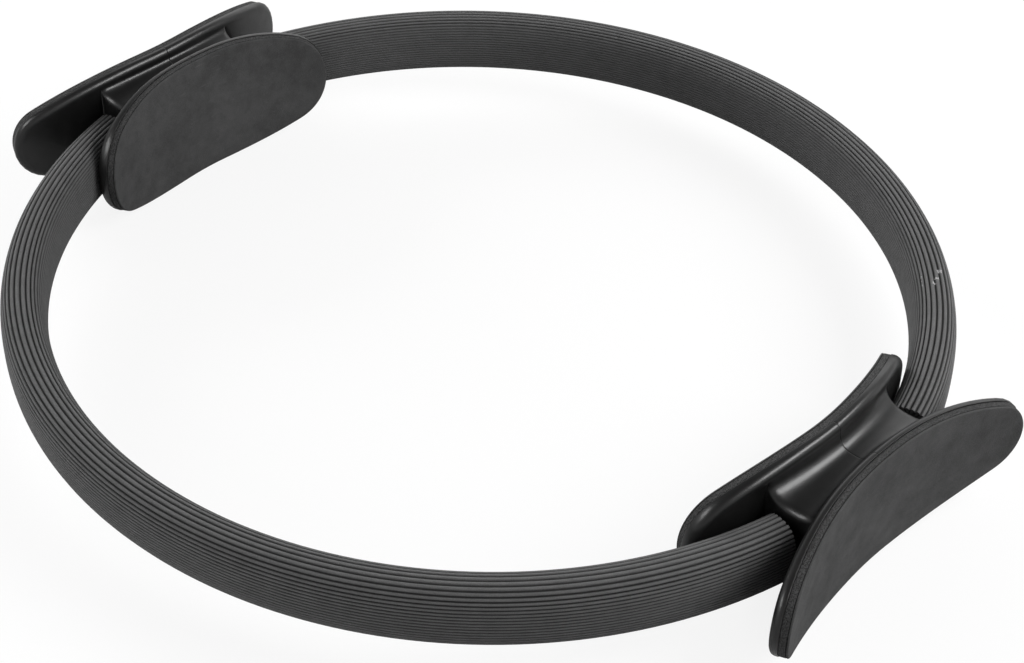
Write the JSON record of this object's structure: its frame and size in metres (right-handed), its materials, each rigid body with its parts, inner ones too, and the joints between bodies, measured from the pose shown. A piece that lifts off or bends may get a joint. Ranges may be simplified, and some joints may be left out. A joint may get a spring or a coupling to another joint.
{
  "type": "pilates ring",
  "caption": "Springy hoop in ribbed foam sleeves with a padded spool-shaped handle on each side, squeezed or pulled for resistance exercise.",
  "frame": {"origin": "middle of the ring, which is the centre of its bounding box", "axes": "+X from the middle towards the front handle, across both handles; +Z along the hoop's axis, upwards as pictured; +Y completes the right hand"},
  "size_m": [0.4068, 0.3618, 0.0558],
  "materials": {
    "spring_strip": "pultruded glass-fibre strip, satin",
    "sleeve_foam": "matte closed-cell foam with fine lengthwise ribs",
    "handle_plastic": "glossy injection moulding",
    "screw_steel": "plated steel",
    "tape": "double-sided tape",
    "pad_foam": "matte fine-grained foam sheet with a cut edge"
  },
  "bodies": {
    "ring": {"left_spring_strip": "spring_strip", "right_spring_strip": "spring_strip", "left_sleeve": "sleeve_foam", "right_sleeve": "sleeve_foam"},
    "front_handle": {"front_handle_body": "handle_plastic", "front_screws": "screw_steel", "front_inner_tape": "tape", "front_outer_tape": "tape", "front_inner_pad": "pad_foam", "front_outer_pad": "pad_foam"},
    "rear_handle": {"rear_handle_body": "handle_plastic", "rear_screws": "screw_steel", "rear_inner_tape": "tape", "rear_outer_tape": "tape", "rear_inner_pad": "pad_foam", "rear_outer_pad": "pad_foam"}
  },
  "joints": [
    {"name": "front_squeeze", "type": "slide", "parent": "ring", "child": "front_handle", "axis": [-1, 0, 0], "range_m": [-0.01, 0.03], "stiffness_N_per_m": 2600, "deforming": ["left_spring_strip", "right_spring_strip", "left_sleeve", "right_sleeve"]},
    {"name": "rear_squeeze", "type": "slide", "parent": "ring", "child": "rear_handle", "axis": [1, 0, 0], "range_m": [-0.01, 0.03], "stiffness_N_per_m": 2600, "deforming": ["left_spring_strip", "right_spring_strip", "left_sleeve", "right_sleeve"]}
  ],
  "couplings": [
    {"joint": "rear_squeeze", "follows": "front_squeeze", "ratio": 1}
  ]
}
